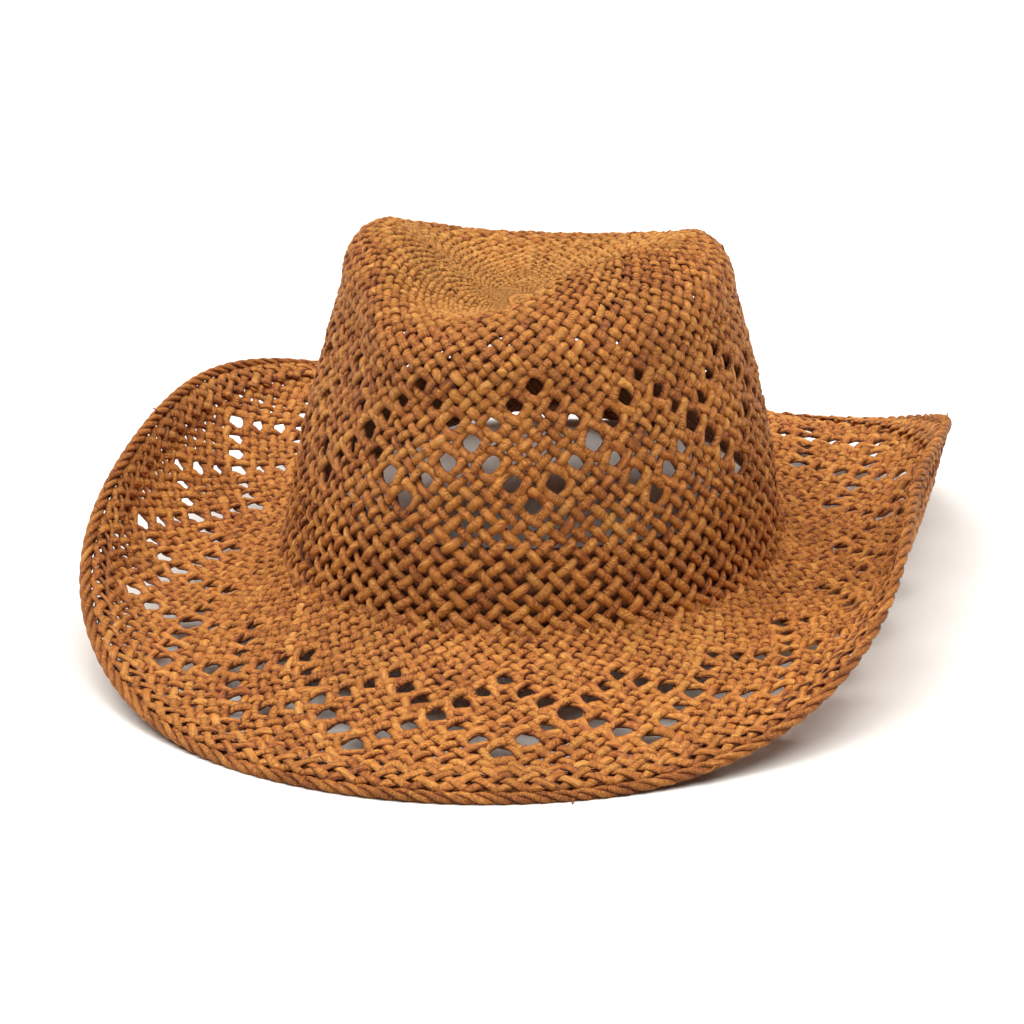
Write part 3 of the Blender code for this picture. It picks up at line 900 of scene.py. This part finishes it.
def make_hem_thread(thread):
    """The lock stitches that hold the turned hem down: a short thread on top between two needle holes."""
    seam = Tubes("hem_stitches")
    along = FOLD_EDGE - HEM_DEPTH + SEAM_INSET
    top = STRAW / 2 + HEM_GAP + HEM_STRAW
    count = int(TURN * (OPENING_RADIUS + along) / STITCH_LENGTH)
    share = np.linspace(0, 1, 7)
    for i in range(count):
        phi = (i + 0.06 + 0.88 * share) * TURN / count
        up = top + STITCH_BOW * np.sin(math.pi * share) ** 0.5 - STITCH_SINK
        centres = on_brim(phi, along + 0.12 * (-1) ** i, up)
        normals = on_brim(phi, along, up + 0.5) - centres
        seam.add(centres, normals, 0.30, 0.26, 0.5 + 0.2 * (-1) ** i, sides=5)
    made = seam.make(thread)
    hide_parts("hem_thread")


def on_band(phi, height, up):
    """A point off the crown's wall, at a height above the head opening."""
    return on_crown(phi, wall_stage(phi, height), up)


def make_band_thread(thread):
    """The zigzag of lock stitches that sews the sweatband to the crown, a little above its lower edge."""
    seam = Tubes("band_stitches")
    clear = (TAB_WIDTH / 2 + 1.0) / OPENING_HALF_LENGTH
    count = int((TURN - 2 * clear) * OPENING_RADIUS / STITCH_LENGTH)
    first = BACK + clear
    share = np.linspace(0, 1, 7)
    face = -(STRAW / 2 + GAP + BAND_THICK)
    for i in range(count):
        phi = first + (i + 0.05 + 0.9 * share) * (TURN - 2 * clear) / count
        height = BAND_BOTTOM + SEAM_INSET + STITCH_SWAY * (2 * share - 1) * (-1) ** i
        up = face - 0.7 * np.sin(math.pi * share) ** 0.5 + 0.4
        centres = on_band(phi, height, up)
        normals = on_band(phi, height, up - 0.5) - centres
        seam.add(centres, normals, 0.34, 0.28, 0.5 + 0.2 * (-1) ** i, sides=5)
    made = seam.make(thread)
    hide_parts("sweatband_thread")


def cloth_strip(name, phis, heights, middle, half_thick, swell, rng):
    """A strip of tape inside the crown with soft rolled edges and a slight swell between its seams."""
    across = len(heights)
    place = (heights - heights[0]) / (heights[-1] - heights[0])
    edge = np.clip(np.minimum(place, 1 - place) / 0.04, 0.25, 1) ** 0.5
    ring_heights = np.concatenate([heights, heights[::-1]])
    ring_edge = np.concatenate([edge, -edge[::-1]])
    ring_place = np.concatenate([place, place[::-1]])
    waves = [(rng.integers(5, 60), rng.uniform(0, TURN), rng.uniform(0.4, 1)) for _ in range(8)]
    rumple = sum(size * np.sin(n * phis + phase) for n, phase, size in waves) / 3
    bulge = swell * np.sin(math.pi * ring_place)[None] * (1 + 0.5 * rumple[:, None])
    up = middle - half_thick * ring_edge[None] - bulge
    points = on_band(phis[:, None], ring_heights[None], up)
    rings, count = len(phis), 2 * across
    i, j = np.arange(rings - 1)[:, None], np.arange(count)[None]
    a, b, k = i * count, (i + 1) * count, (j + 1) % count
    quads = np.stack([a + j, b + j, b + k, a + k], -1).reshape(-1, 4)
    ends = [tuple(range(count)), tuple((rings - 1) * count + j for j in reversed(range(count)))]
    mesh = bpy.data.meshes.new(name)
    mesh.from_pydata(standing(points.reshape(-1, 3)).tolist(), [], quads.tolist() + ends)
    mesh.shade_smooth()
    layer = mesh.uv_layers.new(name="strand")
    corner = np.empty(len(mesh.loops), np.int32)
    mesh.loops.foreach_get("vertex_index", corner)
    along = np.repeat(phis * OPENING_HALF_LENGTH, count)[corner]
    over = np.tile(ring_heights, rings)[corner]
    layer.uv.foreach_set("vector", np.stack([along, over], -1).astype(np.float32).reshape(-1))
    made = bpy.data.objects.new(name, mesh)
    bpy.context.scene.collection.objects.link(made)
    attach(made, "root")
    return made


# Where the rings of a tape lie across it: close together where its edges roll over.
BAND_ACROSS = np.array([0, 0.01, 0.03, 0.08, 0.2, 0.4, 0.6, 0.8, 0.92, 0.97, 0.99, 1])
TAB_ACROSS = np.array([0, 0.01, 0.03, 0.1, 0.3, 0.5, 0.7, 0.9, 0.97, 0.99, 1])
BAND_SWELL = 0.35
TAB_SWELL = 0.25


def make_sweatband(cloth):
    """The tape round the inside of the crown, with its ends meeting at the back."""
    rng = np.random.default_rng(17)
    half = GAP / OPENING_HALF_LENGTH
    phis = np.linspace(BACK + half, BACK + TURN - half, 361)
    heights = BAND_BOTTOM + BAND_HEIGHT * BAND_ACROSS
    middle = -(STRAW / 2 + GAP + BAND_THICK / 2)
    band = cloth_strip("sweat_tape", phis, heights, middle, BAND_THICK / 2, BAND_SWELL, rng)
    band.data.materials.append(cloth)
    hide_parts("sweatband")


def make_tab(cloth):
    """The short tape over the sweatband's join."""
    rng = np.random.default_rng(18)
    half = TAB_WIDTH / 2 / OPENING_HALF_LENGTH
    phis = np.linspace(BACK - half, BACK + half, 25)
    heights = BAND_BOTTOM + 1 + (BAND_HEIGHT - 2) * TAB_ACROSS
    middle = -(STRAW / 2 + 2 * GAP + BAND_THICK + TAB_THICK / 2)
    tab = cloth_strip("join_tape", phis, heights, middle, TAB_THICK / 2, TAB_SWELL, rng)
    tab.data.materials.append(cloth)
    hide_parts("sweatband_tab")


def plain_finish(name, material):
    """Gives a kept CAD node its material."""
    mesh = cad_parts[name].data
    mesh.materials.clear()
    mesh.materials.append(material)


# ---------------------------------------------------------------------------------------------------
# Studio: a pale floor, two broad lights from above to the left and right, and a faint warm sky.

CAMERA_AZIMUTH = math.radians(13.75)
CAMERA_ELEVATION = math.radians(21.59)
CAMERA_ROLL = math.radians(-0.81)
CAMERA_DISTANCE = 1.552
CAMERA_LENS = 157.2
LOOK_FROM = Vector(standing((0, 0, 55)))
LOOK_SIDE = 0.0061  # how far the camera aims to one side of that point, in metres
LOOK_DOWN = 0.0422
FLOOR_HALF = 4.0
SOFTBOX_ANGLE = math.radians(48)
SOFTBOXES = (("left_softbox", 3.15, -24), ("right_softbox", 2.95, 19))  # strength, and degrees from upright


def make_camera():
    """A long lens from the wearer's left of straight ahead, and from a little above."""
    back = Vector((
        math.sin(CAMERA_AZIMUTH) * math.cos(CAMERA_ELEVATION),
        -math.cos(CAMERA_AZIMUTH) * math.cos(CAMERA_ELEVATION),
        math.sin(CAMERA_ELEVATION),
    ))
    right = Vector((math.cos(CAMERA_AZIMUTH), math.sin(CAMERA_AZIMUTH), 0))
    back, right = LEAN @ back, LEAN @ right
    up = back.cross(right)
    location = LOOK_FROM + back * CAMERA_DISTANCE
    tilted_right = right * math.cos(CAMERA_ROLL) + up * math.sin(CAMERA_ROLL)
    tilted_up = up * math.cos(CAMERA_ROLL) - right * math.sin(CAMERA_ROLL)
    aim = LOOK_FROM - tilted_right * LOOK_SIDE - tilted_up * LOOK_DOWN
    back = (location - aim).normalized()
    tilted_right = (tilted_right - back * tilted_right.dot(back)).normalized()
    tilted_up = back.cross(tilted_right)
    data = bpy.data.cameras.new("camera")
    data.lens = CAMERA_LENS
    data.sensor_width = 36
    camera = bpy.data.objects.new("camera", data)
    turn = Matrix((tilted_right, tilted_up, back)).transposed().to_4x4()
    camera.matrix_world = Matrix.Translation(location) @ turn
    bpy.context.scene.collection.objects.link(camera)
    bpy.context.scene.camera = camera


def make_floor():
    made, nodes, links, shader = new_material("pale_floor")
    place = node(nodes, "ShaderNodeTexCoord")
    mottle = noise(nodes, links, place.outputs["Object"], 9.0)
    tone = ramp(nodes, links, mottle, ((0.3, (0.81, 0.785, 0.74)), (0.7, (0.83, 0.805, 0.76))))
    links.new(tone, shader.inputs["Base Color"])
    shader.inputs["Roughness"].default_value = 0.8
    shader.inputs["Specular IOR Level"].default_value = 0.2
    mesh = bpy.data.meshes.new("floor")
    corners = [(x * FLOOR_HALF, y * FLOOR_HALF, 0) for x, y in ((-1, -1), (1, -1), (1, 1), (-1, 1))]
    mesh.from_pydata(corners, [], [(0, 1, 2, 3)])
    mesh.materials.append(made)
    floor = bpy.data.objects.new("floor", mesh)
    bpy.context.scene.collection.objects.link(floor)


def make_lights():
    world = bpy.data.worlds.new("studio")
    bpy.context.scene.world = world
    world.use_nodes = True
    background = world.node_tree.nodes["Background"]
    background.inputs["Color"].default_value = (1.0, 0.96, 0.90, 1)
    background.inputs["Strength"].default_value = 0.12
    for name, energy, lean in SOFTBOXES:
        softbox = bpy.data.lights.new(name, "SUN")
        softbox.energy = energy
        softbox.angle = SOFTBOX_ANGLE
        light = bpy.data.objects.new(name, softbox)
        light.rotation_euler = (0, math.radians(lean), 0)
        bpy.context.scene.collection.objects.link(light)
    bpy.context.scene.view_settings.view_transform = "Standard"


def main():
    straw = straw_material("paper_straw")
    edging = straw_material("braided_straw", painted_shade_across_tone=0.12)
    cloth = cloth_material("band_cloth", (0.26, 0.085, 0.022), (0.40, 0.15, 0.045))
    # The thread is a dark brown so that the hem's stitches also draw the shadow line along the hem's inner
    # edge: real thread, partly painted shade.
    thread = cloth_material("tan_thread", (0.16, 0.052, 0.012), (0.28, 0.10, 0.025))
    steel = steel_material()
    make_crown(straw)
    make_dent(straw)
    make_brim(straw)
    make_braid(edging)
    for name in ("brim_wire", "wire_sleeve"):
        plain_finish(name, steel)
    make_loose_ends(edging)
    make_hem_thread(thread)
    make_sweatband(cloth)
    make_tab(cloth)
    make_band_thread(thread)
    make_camera()
    make_floor()
    make_lights()


main()
